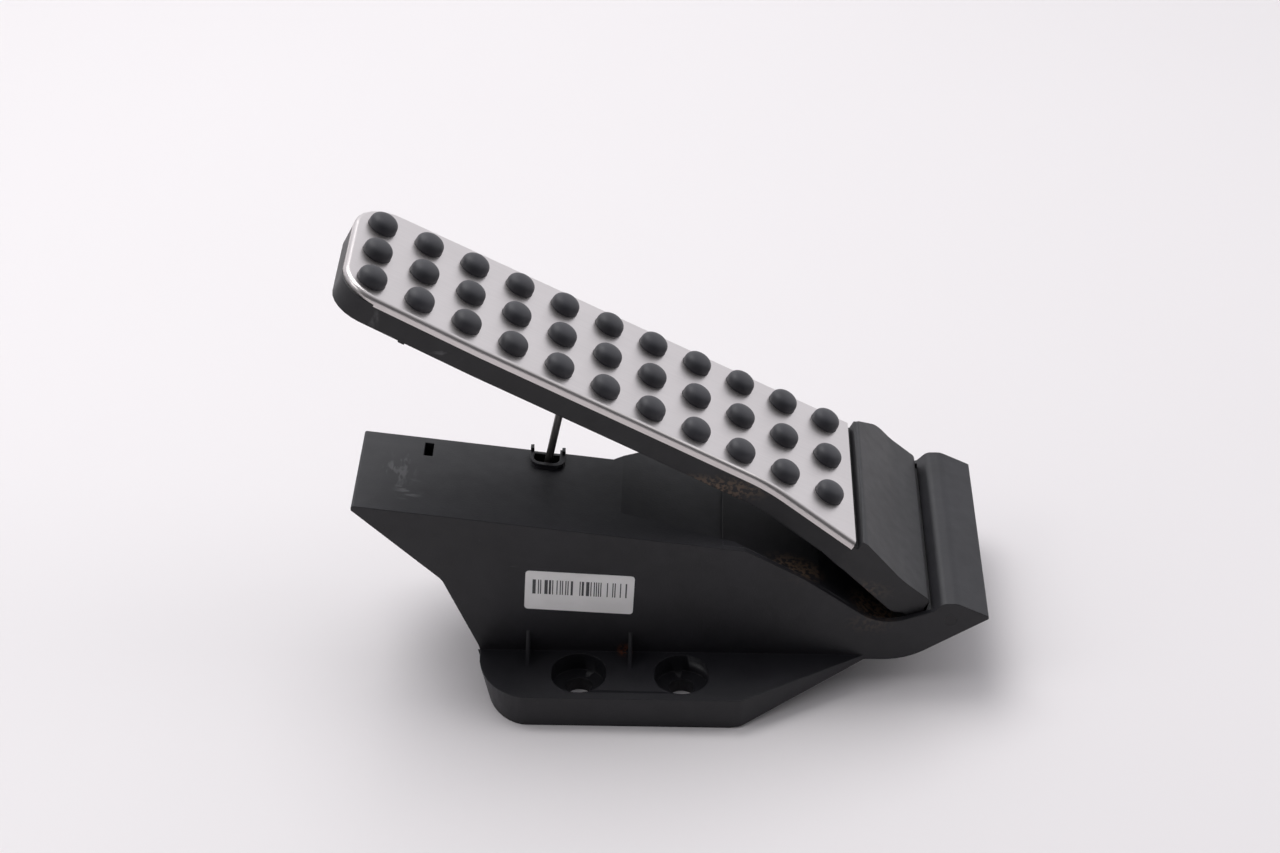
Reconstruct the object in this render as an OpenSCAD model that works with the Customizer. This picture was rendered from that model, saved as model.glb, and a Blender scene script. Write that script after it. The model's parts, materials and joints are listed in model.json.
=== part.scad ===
// Accelerator pedal sensor for a car: a floor-mounted housing with a hinged treadle.
// Millimetres. X runs along the treadle with the hinge at +X, Y runs across, Z is up.
// The base lies at z = 0 and the two near bolts stand at equal distance left and right of x = 0.

/* [Housing] */
// Height of the top face above the base, between the two near bolts
top_z = 58.05; // [57:0.25:60]
// Fall of the top face toward the heel, per 100 mm
top_fall = 12.36; // [11:0.2:13.6]
// Near wall, measured from the middle row of studs
near_y = 44; // [44:0.25:46]
// Far end of the hinge hood, measured from the middle row of studs
far_y = 45; // [45:0.25:48]
// Left end of the housing
nose_x = 90.6; // [89:0.5:94]
// Wall of the chamber
wall_t = 2.4; // [2:0.1:2.8]
// Wall beside the treadle
cheek_t = 2; // [1.6:0.1:2]

/* [Mounting] */
// Spacing of the two near bolts
bolt_span = 34; // [32:0.5:36]
// Distance of the near bolts from the middle row of studs
bolt_y = 54.5; // [54:0.25:57]
// Radius of the bolt holes
bolt_r = 4.3; // [3.3:0.1:5.3]
// Radius of the counterbores for the bolt heads
head_r = 9; // [8:0.1:9.4]
// Length by which the near counterbores are slotted
head_slot = 2.4; // [0:0.2:3]
// Height of the bolt seats above the base
seat_z = 4.9; // [4:0.1:7]
// Height of the flange
flange_h = 11.4; // [10:0.2:12]
// Distance of the far bolt from the middle row of studs
lug_y = 41; // [36:0.5:46]

/* [Hinge] */
// Place of the hinge along the housing
hinge_x = 105.5;
// Height of the hinge above the base
hinge_z = 26.6;
// Radius of the hinge pin
pin_r = 2; // [1.6:0.1:2.3]
// Radius of the barrel on the treadle
barrel_r = 3.5; // [3.1:0.1:3.8]
// Travel of the treadle in degrees
travel = 11;

/* [Treadle] */
// Slope of the tread at rest in degrees
pad_angle = 27.65;
// Distance from the first column of studs to the hinge, along the tread
pad_reach = 218.67;
// Height of the tread above the hinge, square to the tread
pad_rise = 11.19;
// Depth of the treadle below the tread
body_d = 11.1; // [9.6:0.1:11.1]
// Wall of the treadle
rib_wall = 2.2; // [1.6:0.1:2.6]
// Spacing of the cross ribs below the treadle
rib_step = 18; // [14:1:24]
// Thickness of the steel tread plate
plate_t = 0.8; // [0.6:0.1:1]
// Depth of the bent edge of the plate
skirt_d = 3; // [2:0.1:3]

/* [Studs] */
// Columns of studs
columns = 11; // [9:1:11]
// Spacing of the columns
column_step = 16.66; // [15:0.2:16.8]
// Distance of the outer rows from the middle row at the tip
row_tip = 17.12; // [14:0.2:18]
// Distance of the outer rows from the middle row at the heel
row_heel = 21.55; // [19:0.2:23]
// Radius of a stud
stud_r = 4.9; // [4:0.1:5.4]
// Height of a stud above the tread
stud_h = 4.4; // [3:0.1:5.4]
// Thickness of the rubber sheet under the plate
mat_t = 0.8; // [0.6:0.1:1]

/* [Linkage] */
// Place of the rod ball along the tread
ball_s = 73.77; // [70:0.5:76]
// Depth of the rod ball below the tread
ball_n = 7.41; // [7.2:0.05:7.6]
// Distance of the rod from the middle row of studs, toward the near side
rod_y = 3.8; // [3.6:0.1:4.2]
// Radius of the rod
rod_r = 1.3; // [1:0.1:1.5]
// Radius of the ball on the rod
ball_r = 3.25; // [2.8:0.05:3.3]
// Height of the crank shaft above the base
crank_z = 33; // [32:0.25:34]
// Length of the crank from the shaft to the cross pin
arm = 34.1; // [33:0.1:34.6]
// Slope of the crank at rest in degrees
arm_angle = 18.81; // [17:0.2:20]
// Radius of the cross pin
cross_r = 1.8; // [1.4:0.1:2]
// Radius of the crank shaft
shaft_r = 2.5; // [2:0.1:2.8]
// Radius of the crank hub
hub_r = 8.5; // [7.5:0.1:8.6]
// Radius of the outer return spring, outside
spring_r = 7; // [6.4:0.1:7.4]
// Wire of the outer return spring
wire_d = 1.6; // [1.2:0.1:1.8]

/* [Sensor] */
// Thickness of the covers
cover_t = 1.8; // [1.5:0.1:2.2]
// Thickness of the seal under the sensor cover
seal_t = 0.6; // [0.4:0.1:1]
// Thickness of the sensor board
board_t = 1.6; // [1.2:0.1:1.8]
// Spacing of the connector terminals
pin_step = 2.3; // [2:0.1:2.4]
// Thickness of the base cover
base_t = 2.5; // [2:0.1:3]

/* [Label] */
// Length of the bare sticker on the near wall
label_w = 35.9; // [28:0.5:38]
// Height of the sticker
label_h = 15.5; // [12:0.5:17]

/* [Hidden] */

// Clearances
slip = 0.05;      // round a pin that turns
press = 0.03;     // round a pin that is pressed in
gap = 0.4;        // between the treadle and the walls beside it
stop_gap = 0.8;   // between the treadle and the pocket floor at full travel

// Small round numbers shared by several pieces
edge = 0.1;       // overshoot of a cut
corner_r = 0.8;   // outer edge of a moulding
rim_t = 2.5;      // far rim round the opening of the chamber
label_t = 0.15;
label_tilt = 3;
screw_r = 1.1;
screw_head_r = 2.5;
screw_boss_r = 3;

// Places worked out from the driving sizes
chamber_y = near_y - wall_t;      // inner face of the near wall of the chamber
pocket_y = near_y - cheek_t;      // inner face of the near wall of the treadle pocket
pocket_far = far_y - cheek_t;
heel_y = pocket_y - gap;          // near and far sides of the heel and its barrel
heel_far = pocket_far - gap;
full_angle = pad_angle - travel;
floor_n = pad_rise - body_d - stop_gap;    // pocket floor, square to it from the hinge
hollow_x = 15;                    // left end of the hollow under the pocket
chamber_x = 11;                   // right wall of the chamber
chamber_foot = 41;                // left wall of the chamber at the base
foot_x = 47.5;                    // left end of the base
seam_x = 7;                       // where the far wall starts to slant
slope_x = 33;                     // where the base starts to rise toward the heel
slope_end = [78.2, 9.8];
cross_place = [-arm * cos(arm_angle), crank_z + arm * sin(arm_angle)];
ball_place = [
  hinge_x - (pad_reach - ball_s) * cos(pad_angle) + (pad_rise - ball_n) * sin(pad_angle),
  hinge_z + (pad_reach - ball_s) * sin(pad_angle) + (pad_rise - ball_n) * cos(pad_angle)
];
rod_slope = atan2(ball_place[0] - cross_place[0], ball_place[1] - cross_place[1]);

// Height of the top face, and of the pocket floor, at a place along the housing
function top(x) = top_z - top_fall / 100 * x;
function floor_z(x) = hinge_z + (hinge_x - x) * tan(full_angle) + floor_n / cos(full_angle);

// Outline with round corners: each corner is [x, y, radius]
function rounded(c, steps = 6) = [
  for (i = [0 : len(c) - 1])
    let (
      p = [c[i][0], c[i][1]],
      a = c[(i + len(c) - 1) % len(c)],
      b = c[(i + 1) % len(c)],
      u = ([a[0], a[1]] - p) / norm([a[0], a[1]] - p),
      v = ([b[0], b[1]] - p) / norm([b[0], b[1]] - p),
      half = acos(max(-1, min(1, u * v))) / 2,
      m = p + (u + v) / norm(u + v) * c[i][2] / sin(half),
      s = p + u * c[i][2] / tan(half) - m,
      e = p + v * c[i][2] / tan(half) - m,
      a0 = atan2(s[1], s[0]),
      turn = atan2(s[0] * e[1] - s[1] * e[0], s * e)
    )
    each (c[i][2] == 0 ? [p] : [
      for (k = [0 : steps]) m + c[i][2] * [cos(a0 + turn * k / steps), sin(a0 + turn * k / steps)]
    ])
];

// The same corners moved inward by d, for an outline that runs anticlockwise
function inset(c, d) = [
  for (i = [0 : len(c) - 1])
    let (
      p = [c[i][0], c[i][1]],
      a = c[(i + len(c) - 1) % len(c)],
      b = c[(i + 1) % len(c)],
      e = (p - [a[0], a[1]]) / norm(p - [a[0], a[1]]),
      f = ([b[0], b[1]] - p) / norm([b[0], b[1]] - p),
      n = [-e[1], e[0]],
      m = [-f[1], f[0]],
      q = p + d * (n + m) / (1 + n * m),
      bend = e[0] * f[1] - e[1] * f[0]
    )
    [q[0], q[1], c[i][2] == 0 ? 0 : max(0.2, c[i][2] - (bend > 0 ? d : -d))]
];

// Draws a side view (x, z) and gives it the width from y0 to y1
module side(y0, y1) {
  translate([0, y1, 0])
    rotate([90, 0, 0])
      linear_extrude(y1 - y0)
        children();
}

// A cylinder across the housing at a place (x, z), from y0 to y1
module across(place, r, y0, y1, fn = 48) {
  translate([place[0], y1, place[1]])
    rotate([90, 0, 0])
      cylinder(r = r, h = y1 - y0, $fn = fn);
}

// Places pieces on the tread: x along it from the first studs, z square to it
module on_tread() {
  translate([hinge_x, 0, hinge_z])
    rotate([0, pad_angle, 0])
      translate([-pad_reach, 0, pad_rise])
        children();
}

// Places pieces round the hinge as the treadle lies at full travel
module at_full() {
  translate([hinge_x, 0, hinge_z])
    rotate([0, full_angle, 0])
      children();
}

// Places pieces on the crank: x outward along the arm, z square to it
module on_arm() {
  translate([0, 0, crank_z])
    rotate([0, arm_angle + 180, 0])
      children();
}

// outlines of the housing

body_side = [
  [-foot_x, 0, 0],
  [slope_x, 0, 0],
  [slope_end[0], slope_end[1], 0],
  [hinge_x - 14.3, slope_end[1], 25],
  [hinge_x + 13.4, hinge_z + 1.2, corner_r],
  [hinge_x + 2, hinge_z + 6.6, 6],
  [hinge_x - 2.8, hinge_z + 6.5, 3.5],
  [hinge_x - 5.9, hinge_z + 3.2, 0],
  [hinge_x - 22.9, hinge_z - 2.95, 16],
  [56.3, 42.8, 25],
  [37.5, top(37.5), 5],
  [-nose_x, top(-nose_x), corner_r],
  [-nose_x, top(-nose_x) - 1.7, 0.5],
  [-62.2, 40.1, 6],
  [-51, 13.4, 3]
];

body_plan = [
  [-nose_x - 2, -near_y],
  [hinge_x + 20, -near_y],
  [hinge_x + 20, far_y],
  [far_y, far_y],
  [-seam_x, 0],
  [-nose_x - 2, 0]
];

chamber_side = [
  [-chamber_foot, -edge],
  [chamber_x, -edge],
  [chamber_x, floor_z(chamber_x) - wall_t - 0.1],
  [-6, top(-6) - wall_t],
  [-nose_x + 4.6, top(-nose_x + 4.6) - wall_t],
  [-60.2, 42],
  [-49.6, 14.3],
  [-chamber_foot, 12]
];

opening_side = [
  [-46.8, 14],
  [-10, 14],
  [-10, top(-10) - wall_t - 2.2],
  [-77, top(-77) - wall_t - 2.2],
  [-58.2, 42.5]
];

cover_outline = [
  [-50.4, 12.2, 0.8],
  [-seam_x - 0.6, 12.2, 0.8],
  [-seam_x - 0.6, top(-seam_x) - 0.8, 0.8],
  [-nose_x + 1.2, top(-nose_x + 1.2) - 0.8, 0.4],
  [-61.5, 40.4, 6]
];

cover_screw_places = [[-80, 61], [-12.2, 52], [-12.2, 18], [-46, 18]];
base_screw_places = [[-38.2, -chamber_y + 2.8], [8.2, -chamber_y + 2.8], [8.2, -5.3], [-38.2, -5.3]];

flange_plan = [
  [-52, -near_y + 0.1, 0],
  [-51.4, -47, 4],
  [-49.4, -59, 10],
  [-43.5, -bolt_y - 14.6, 9],
  [36.5, -bolt_y - 14.6, 4],
  [77.6, -near_y + 0.1, 0]
];

lug_plan = [
  [-bolt_span / 2 - 11, 1, 0],
  [-bolt_span / 2 + 11, 1, 0],
  [-bolt_span / 2 + 11, lug_y + 11, 10.8],
  [-bolt_span / 2 - 11, lug_y + 11, 10.8]
];

collar_x = [-34.7, -33.6, -24.9, -23.1];
collar_y = [-9.9, -8.3];
collar_h = 1.3;

// The treadle pocket, by its section along the slanting floor and by the side view round the heel
module pocket() {
  at_full()
    translate([-118, 0, floor_n])
      rotate([90, 0, 90])
        linear_extrude(39.2)
          polygon([[-30.5, 0], [60, 0], [60, 20], [-58.7, 20]]);
  side(-pocket_y, pocket_far)
    polygon([
      [30, floor_z(30)],
      [62, floor_z(62)],
      [hinge_x - 35.5, hinge_z + 4.4],
      [hinge_x - 27.5, hinge_z - 2.6],
      [hinge_x - 21.5, hinge_z - 8.6],
      [hinge_x - 15.5, hinge_z - 12],
      [hinge_x - 8.5, hinge_z - 9.4],
      [hinge_x - 2.9, hinge_z - 5.4],
      [hinge_x, hinge_z],
      [hinge_x - 2.3, hinge_z + 3.3],
      [hinge_x - 6.1, hinge_z + 1.9],
      [hinge_x - 6.1, 74],
      [30, 74]
    ]);
  across([hinge_x, hinge_z], barrel_r + 0.5, -pocket_y, pocket_far);
}

// Hollow below the pocket, divided by ribs, open at the base
module underside() {
  roof = wall_t / cos(full_angle);
  difference() {
    intersection() {
      side(-pocket_y + 0.2, pocket_far - 0.4)
        polygon([
          [hollow_x, -edge],
          [82, -edge],
          [82, 16.6],
          [hinge_x - 29.2, hinge_z - 4.3],
          [hinge_x - 37.2, hinge_z + 2.7],
          [59.9, floor_z(59.9) - roof],
          [hollow_x, floor_z(hollow_x) - roof]
        ]);
      translate([0, 0, -1])
        linear_extrude(70)
          polygon([
            [hollow_x, -near_y],
            [84, -near_y],
            [84, far_y],
            [far_y + 3.6, far_y],
            [hollow_x, (hollow_x - 1.6 + seam_x) * far_y / (far_y + seam_x) - 1.8]
          ]);
    }
    for (x = [34, 56])
      translate([x, -60, -1])
        cube([2, 120, 70]);
    for (y = [-15, 14])
      translate([hollow_x - 1, y, -1])
        cube([80, 1.8, 70]);
  }
}

module flange() {
  difference() {
    intersection() {
      linear_extrude(flange_h)
        polygon(rounded(flange_plan));
      side(-bolt_y - 20, -near_y + 0.1)
        polygon([
          [-foot_x - 1.1, 0], [slope_x, 0], slope_end, [90, slope_end[1]], [90, 20], [-53, 20]
        ]);
    }
    for (x = [-bolt_span / 2, bolt_span / 2])
      bolt_hole(x, -bolt_y, head_slot);
  }
  for (x = [-bolt_span, 0])
    translate([x - 0.8, 0, 0])
      rotate([90, 0, 90])
        linear_extrude(1.2)
          polygon([
            [-near_y + 0.2, flange_h - 0.2],
            [-near_y - 9.4, flange_h - 0.2],
            [-near_y - 9.4, flange_h],
            [-near_y + 0.2, flange_h + 8.3]
          ]);
}

// Bolt hole with a counterbore that is slotted outward by s
module bolt_hole(x, y, s) {
  translate([x, y, -1])
    cylinder(r = bolt_r, h = 20, $fn = 48);
  translate([x, y, seat_z]) {
    cylinder(r = head_r, h = 20, $fn = 48);
    if (s > 0) {
      translate([0, -s, 0])
        cylinder(r = head_r, h = 20, $fn = 48);
      translate([-head_r, -s, 0])
        cube([head_r * 2, s, 20]);
    }
  }
}

module lug() {
  difference() {
    union() {
      linear_extrude(flange_h)
        polygon(rounded(lug_plan, 10));
      translate([-foot_x + 0.3, -0.5, 0])
        cube([foot_x - seam_x - 0.3, 4, flange_h]);
    }
    bolt_hole(-bolt_span / 2, lug_y, 0);
  }
}

module collar() {
  intersection() {
    side(collar_y[0] - 1, 0)
      polygon([
        [-36, top(-36) - 1], [-22, top(-22) - 1],
        [-22, top(-22) + collar_h], [-36, top(-36) + collar_h]
      ]);
    linear_extrude(90)
      polygon(rounded([
        [collar_x[0], collar_y[0], 4], [collar_x[3], collar_y[0], 4],
        [collar_x[3], 0, 0], [collar_x[0], 0, 0]
      ]));
  }
}

// Slot for the rod through the top, and the narrow window left of it
module top_slots() {
  translate([0, 0, 50])
    linear_extrude(30)
      polygon(rounded([
        [collar_x[1], collar_y[1], 2.4], [collar_x[2], collar_y[1], 2.4],
        [collar_x[2], 1, 0], [collar_x[1], 1, 0]
      ]));
  translate([-70, -10.5, 62])
    cube([3, 7.5, 20]);
}

// Posts and bosses that stand inside the chamber
module chamber_details() {
  for (p = cover_screw_places)
    across(p, screw_boss_r, -5.6, 0, 32);
  for (p = base_screw_places)
    translate([p[0], p[1], base_t])
      cylinder(r = screw_boss_r, h = 5, $fn = 32);
  // bearings of the crank shaft
  across([0, crank_z], shaft_r + 3.2, -chamber_y - 0.5, -chamber_y + 3.8);
  across([0, crank_z], shaft_r + 3.2, -6, -rim_t + 0.5);
  // post over the friction shoe, and the rib over the rest stop
  translate([-4, -30, crank_z + hub_r + 5])
    cube([8, 10, 20]);
  translate([-23, -10, rest_z + 3])
    cube([5, 4.4, 20]);
}

rest_z = crank_z + 14.6;    // underside of the rest stop

module housing() {
  color("dimgray")
    difference() {
      union() {
        difference() {
          intersection() {
            side(-near_y, far_y)
              polygon(rounded(body_side));
            translate([0, 0, -1])
              linear_extrude(90)
                polygon(body_plan);
          }
          side(-chamber_y, -rim_t)
            polygon(chamber_side);
          side(-rim_t - edge, 1)
            polygon(opening_side);
        }
        intersection() {
          side(-near_y + 1, 0)
            polygon(rounded(body_side));
          chamber_details();
        }
        flange();
        lug();
        collar();
      }
      pocket();
      underside();
      top_slots();
      // recess for the base cover
      translate([-chamber_foot - 3, -chamber_y - 2.8, -1])
        cube([chamber_foot + chamber_x + 5, chamber_y + 4.2, base_t + 1]);
      for (p = base_screw_places)
        translate([p[0], p[1], 0])
          cylinder(r = screw_r + slip, h = base_t + 4.4, $fn = 32);
      for (p = cover_screw_places)
        across(p, screw_r + slip, -4.8, 1, 32);
      // bores of the crank shaft and of the hinge pin
      across([0, crank_z], shaft_r + press, -near_y + 1.7, 2.7);
      across([hinge_x, hinge_z], pin_r + press, -near_y - 1, far_y + 1);
    }
}

module base_cover() {
  color("gray")
    difference() {
      translate([-chamber_foot - 2.85, -chamber_y - 2.65, 0])
        cube([chamber_foot + chamber_x + 4.7, chamber_y + 3.9, base_t]);
      for (p = base_screw_places)
        translate([p[0], p[1], 0]) {
          cylinder(r1 = screw_head_r + 0.1, r2 = screw_r + 0.2, h = 1.5, $fn = 32);
          cylinder(r = screw_r + 0.2, h = base_t + 1, $fn = 32);
        }
    }
}

module base_screws() {
  color("silver")
    for (p = base_screw_places)
      translate([p[0], p[1], 0]) {
        cylinder(r1 = screw_head_r, r2 = screw_r, h = 1.4, $fn = 32);
        cylinder(r = screw_r, h = base_t + 4, $fn = 32);
      }
}

module cover_seal() {
  color("black")
    difference() {
      side(0, seal_t)
        polygon(rounded(inset(cover_outline, 0.3), 4));
      side(-1, seal_t + 1)
        difference() {
          polygon(opening_side);
          for (p = cover_screw_places)
            translate(p)
              circle(r = screw_boss_r, $fn = 32);
        }
      for (p = cover_screw_places)
        across(p, screw_r + 0.2, -1, seal_t + 1, 32);
    }
}

cover_y = seal_t + cover_t;     // far face of the sensor cover
socket_y = [cover_y, cover_y + 17];
socket_z = [42, 54];
socket_wall = 1.5;
socket_mouth = -82;
pin_t = 0.8;
board_y = -rim_t - 0.1;         // far face of the sensor board

// Place of terminal i: its row across the socket and where it bends to the board
function pin_y(i) = socket_y[0] + 8.6 + (i - 2.5) * pin_step;
function pin_x(i) = -53.5 + (i - 2.5) * 2.2;

module terminal(i, t) {
  translate([-78, pin_y(i) - t / 2, 48 - t / 2])
    cube([pin_x(i) + 78 + t / 2, t, t]);
  translate([pin_x(i) - t / 2, board_y, 48 - t / 2])
    cube([t, pin_y(i) - board_y, t]);
}

module sensor_cover() {
  color("slategray")
    difference() {
      union() {
        side(seal_t, cover_y)
          polygon(rounded(cover_outline, 4));
        translate([socket_mouth, socket_y[0], socket_z[0]])
          cube([36, socket_y[1] - socket_y[0], socket_z[1] - socket_z[0]]);
        for (p = [[-62, 53], [-44, 51], [-45.5, 25]])
          across(p, 2, board_y, seal_t + 0.5, 32);
      }
      translate([socket_mouth - 1, socket_y[0] + socket_wall, socket_z[0] + socket_wall])
        cube([18, socket_y[1] - socket_y[0] - 2 * socket_wall, socket_z[1] - socket_z[0] - 2 * socket_wall]);
      for (i = [0 : 5])
        terminal(i, pin_t + 0.1);
      for (p = cover_screw_places)
        across(p, screw_r + 0.2, -1, cover_y + 1, 32);
    }
}

module terminals() {
  color("gold")
    for (i = [0 : 5])
      terminal(i, pin_t);
}

module cover_screws() {
  color("silver")
    for (p = cover_screw_places) {
      across(p, screw_r, -4.4, cover_y + 0.5, 32);
      across(p, screw_head_r, cover_y, cover_y + 1.5, 32);
    }
}

module sensor_board() {
  color("green")
    side(board_y - board_t, board_y)
      polygon([[-73, 59], [-40.5, 55], [-40.5, 22], [-48, 22], [-58, 44.5], [-70, 56.5]]);
}

module hall_sensors() {
  color("black")
    for (z = [22.5, 30.5])
      translate([-45, board_y - board_t - 1.3, z])
        cube([4, 1.3, 6]);
}

module crank_shaft() {
  color("silver")
    across([0, crank_z], shaft_r, -near_y + 1.7, 2.5);
}

module hinge_pin() {
  color("silver")
    across([hinge_x, hinge_z], pin_r, -near_y, far_y);
}

// Spring by a twisted section: the level cut of a coiled wire is a crescent
spring_place = [-18, -23];
spring_top = crank_z + 2.8;

module coil(r, wire, turns) {
  pitch = (spring_top - base_t) / turns;
  span = 180 * wire / pitch;
  mean = r - wire / 2;
  function half(k) = wire / 2 * sqrt(max(0, 1 - k * k));
  translate([spring_place[0], spring_place[1], base_t])
    linear_extrude(spring_top - base_t, twist = 360 * turns, slices = 10 * turns)
      polygon([
        for (k = [-1 : 0.4 : 1]) (mean + half(k)) * [cos(span * k), sin(span * k)],
        for (k = [0.6 : -0.4 : -0.6]) (mean - half(k)) * [cos(span * k), sin(span * k)]
      ]);
}

module return_spring_outer() {
  color("silver")
    coil(spring_r, wire_d, 7);
}

module return_spring_inner() {
  color("silver")
    coil(spring_r - wire_d - 0.9, wire_d - 0.4, 8);
}

module friction_shoe() {
  color("white")
    difference() {
      translate([-4, -30, crank_z + hub_r - 1])
        cube([8, 10, 5.7]);
      across([0, crank_z], hub_r + 0.3, -31, -19);
    }
}

module rest_stop() {
  color("black")
    translate([-23, -10, rest_z])
      cube([5, 4.4, 3]);
}

module end_stop() {
  color("black")
    translate([-27.8, -7.3, base_t])
      cylinder(r = 3.5, h = 9.3, $fn = 32);
}

module label() {
  color("white")
    translate([-17, 0, 35.8])
      rotate([0, label_tilt, 0])
        side(-near_y - label_t, -near_y)
          polygon(rounded([
            [-label_w / 2, -label_h / 2, 1.2], [label_w / 2, -label_h / 2, 1.2],
            [label_w / 2, label_h / 2, 1.2], [-label_w / 2, label_h / 2, 1.2]
          ], 4));
}

// treadle, drawn on the tread: x along it, y across, z square to it

plate_end = 176.3;     // straight heel edge of the plate
seat_n = plate_t + mat_t + 0.05;     // depth of the moulding under the mat

plate_outline = [
  [-10.6, -25.8, 11],
  [40, -28.3, 60],
  [100, -29.3, 60],
  [145, -30.3, 40],
  [plate_end, -42.3, 0],
  [plate_end, 29.5, 0],
  [-10.6, 29.5, 15]
];

body_outline = [
  [-10.6, -25.8, 11],
  [40, -28.3, 60],
  [100, -29.3, 60],
  [145, -30.3, 40],
  [174.4, -heel_y, 8],
  [210, -heel_y, 0],
  [210, heel_far, 0],
  [189.5, heel_far, 10],
  [plate_end + 0.6, 29.5, 4],
  [-10.6, 29.5, 15]
];

body_section = [
  [-12, -body_d, 0],
  [168, -body_d, 8],
  [176, -body_d - 1.2, 20],
  [199.5, -body_d - 8.8, 5],
  [207.6, -16.2, 1],
  [208.8, -9.9, 2],
  [196, -7.1, 30],
  [178.8, -0.05, 3],
  [plate_end + 0.5, -0.05, 0],
  [plate_end + 0.5, -skirt_d - 0.1, 0],
  [-12, -skirt_d - 0.1, 0]
];

module treadle_hollow() {
  difference() {
    translate([0, 0, -body_d - 1])
      linear_extrude(body_d + 1 - seat_n - 2)
        polygon(rounded(inset(body_outline, rib_wall)));
    translate([167, -60, -body_d - 2])
      cube([60, 120, 20]);
    for (s = [9 : rib_step : 166])
      translate([s, -60, -body_d - 2])
        cube([1.2, 120, 20]);
    for (y = [-11, 11])
      translate([-20, y - 0.6, -body_d - 2])
        cube([200, 1.2, 20]);
    translate([ball_s, -rod_y, -body_d - 2])
      cylinder(r = ball_r + 4.35, h = 20, $fn = 48);
  }
}

module treadle() {
  color("dimgray") {
    difference() {
      union() {
        on_tread() {
          difference() {
            intersection() {
              translate([0, 0, -25])
                linear_extrude(26)
                  polygon(rounded(body_outline));
              side(-60, 60)
                polygon(rounded(body_section));
            }
            treadle_hollow();
          }
          difference() {
            translate([0, 0, -skirt_d - 0.3])
              linear_extrude(skirt_d + 0.3 - seat_n)
                polygon(rounded(inset(plate_outline, plate_t + 0.15)));
            treadle_hollow();
          }
          for (s = [15, 33])
            translate([s - 1.1, -26.3, -body_d - 1])
              cube([2.2, 2, 1.1]);
        }
        side(-heel_y, heel_far)
          polygon([
            [hinge_x - 19, hinge_z + 2.9],
            [hinge_x - 15.5, hinge_z - 1],
            [hinge_x - 11.5, hinge_z - 2.2],
            [hinge_x - 2, hinge_z - 2.9],
            [hinge_x, hinge_z],
            [hinge_x - 2.3, hinge_z + 2.6],
            [hinge_x - 6.1, hinge_z + 1.3],
            [hinge_x - 9.9, hinge_z + 1.3],
            [hinge_x - 11.5, hinge_z + 4.9]
          ]);
        across([hinge_x, hinge_z], barrel_r, -heel_y, heel_far);
      }
      across([hinge_x, hinge_z], pin_r + slip, -heel_y - 1, heel_far + 1);
      on_tread()
        translate([ball_s, -rod_y, -body_d - 1])
          cylinder(r = ball_r + 2.4, h = body_d + 1 - seat_n - 2, $fn = 48);
    }
  }
}

// Places of the studs, three in each column, in rows that spread toward the heel
stud_places = [
  for (c = [0 : columns - 1])
    let (w = row_tip + (row_heel - row_tip) * c / (columns - 1))
      for (y = [-w, 0, w]) [c * column_step, y]
];

module tread_plate() {
  color("lightgray")
    on_tread()
      difference() {
        translate([0, 0, -skirt_d])
          linear_extrude(skirt_d)
            polygon(rounded(plate_outline));
        translate([0, 0, -skirt_d - 1])
          linear_extrude(skirt_d + 1 - plate_t)
            polygon(rounded(concat(
              [for (i = [0 : 3]) inset(plate_outline, plate_t)[i]],
              [[plate_end + 1, -42.7 + plate_t, 0], [plate_end + 1, 29.5 - plate_t, 0]],
              [inset(plate_outline, plate_t)[6]]
            )));
        for (p = stud_places)
          translate([p[0], p[1], -plate_t - 1])
            cylinder(r = stud_r + 0.1, h = plate_t + 2, $fn = 48);
      }
}

module stud_mat() {
  color("black")
    on_tread() {
      translate([0, 0, -plate_t - mat_t])
        linear_extrude(mat_t)
          polygon(rounded(inset(plate_outline, plate_t + 0.6)));
      for (p = stud_places)
        translate([p[0], p[1], -plate_t])
          rotate_extrude($fn = 48)
            polygon(rounded([
              [0, -mat_t / 2, 0], [stud_r, -mat_t / 2, 0],
              [stud_r, plate_t + stud_h - 0.3, min(2.4, stud_r / 2)], [0, plate_t + stud_h, 0]
            ], 4));
    }
}

// Cup for the rod ball, clipped in the treadle, with a mouth that faces down the rod
module rod_socket() {
  color("white")
    difference() {
      on_tread()
        translate([ball_s, -rod_y, -body_d])
          cylinder(r = ball_r + 2.35, h = body_d - seat_n - 2, $fn = 48);
      translate([ball_place[0], -rod_y, ball_place[1]]) {
        sphere(r = ball_r + slip, $fn = 48);
        rotate([0, rod_slope + 180, 0])
          cylinder(r = rod_r + 1, h = 20, $fn = 48);
      }
    }
}

module push_rod() {
  color("gray")
    difference() {
      union() {
        translate([cross_place[0], -rod_y, cross_place[1]])
          rotate([0, rod_slope, 0])
            cylinder(r = rod_r, h = norm(ball_place - cross_place), $fn = 48);
        translate([ball_place[0], -rod_y, ball_place[1]])
          sphere(r = ball_r, $fn = 48);
        across(cross_place, cross_r + 1.2, -rod_y - 2.1, -rod_y + 2.1);
      }
      across(cross_place, cross_r + press, -rod_y - 3, -rod_y + 3);
    }
}

module cross_pin() {
  color("silver")
    across(cross_place, cross_r, -rod_y - 5, -rod_y + 2.1);
}

cheek_y = [-rod_y - 4.4, -rod_y - 2.6];     // cheek of the crank beside the foot of the rod
hub_y = [-chamber_y + 4.4, cheek_y[1]];

cheek_outline = [
  [-hub_r + 0.5, -hub_r + 0.5, 7.5],
  [-hub_r + 0.5, hub_r - 0.5, 7.5],
  [arm * 0.3, hub_r - 0.8, 0],
  [arm + 1, 5.2, 3],
  [arm + 2.5, 4, 1],
  [arm + 10, 4, 2],
  [arm + 10, -4, 2],
  [arm + 2.5, -4, 1],
  [arm + 1, -5.2, 3],
  [arm * 0.3, -hub_r + 0.8, 0]
];

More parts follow.
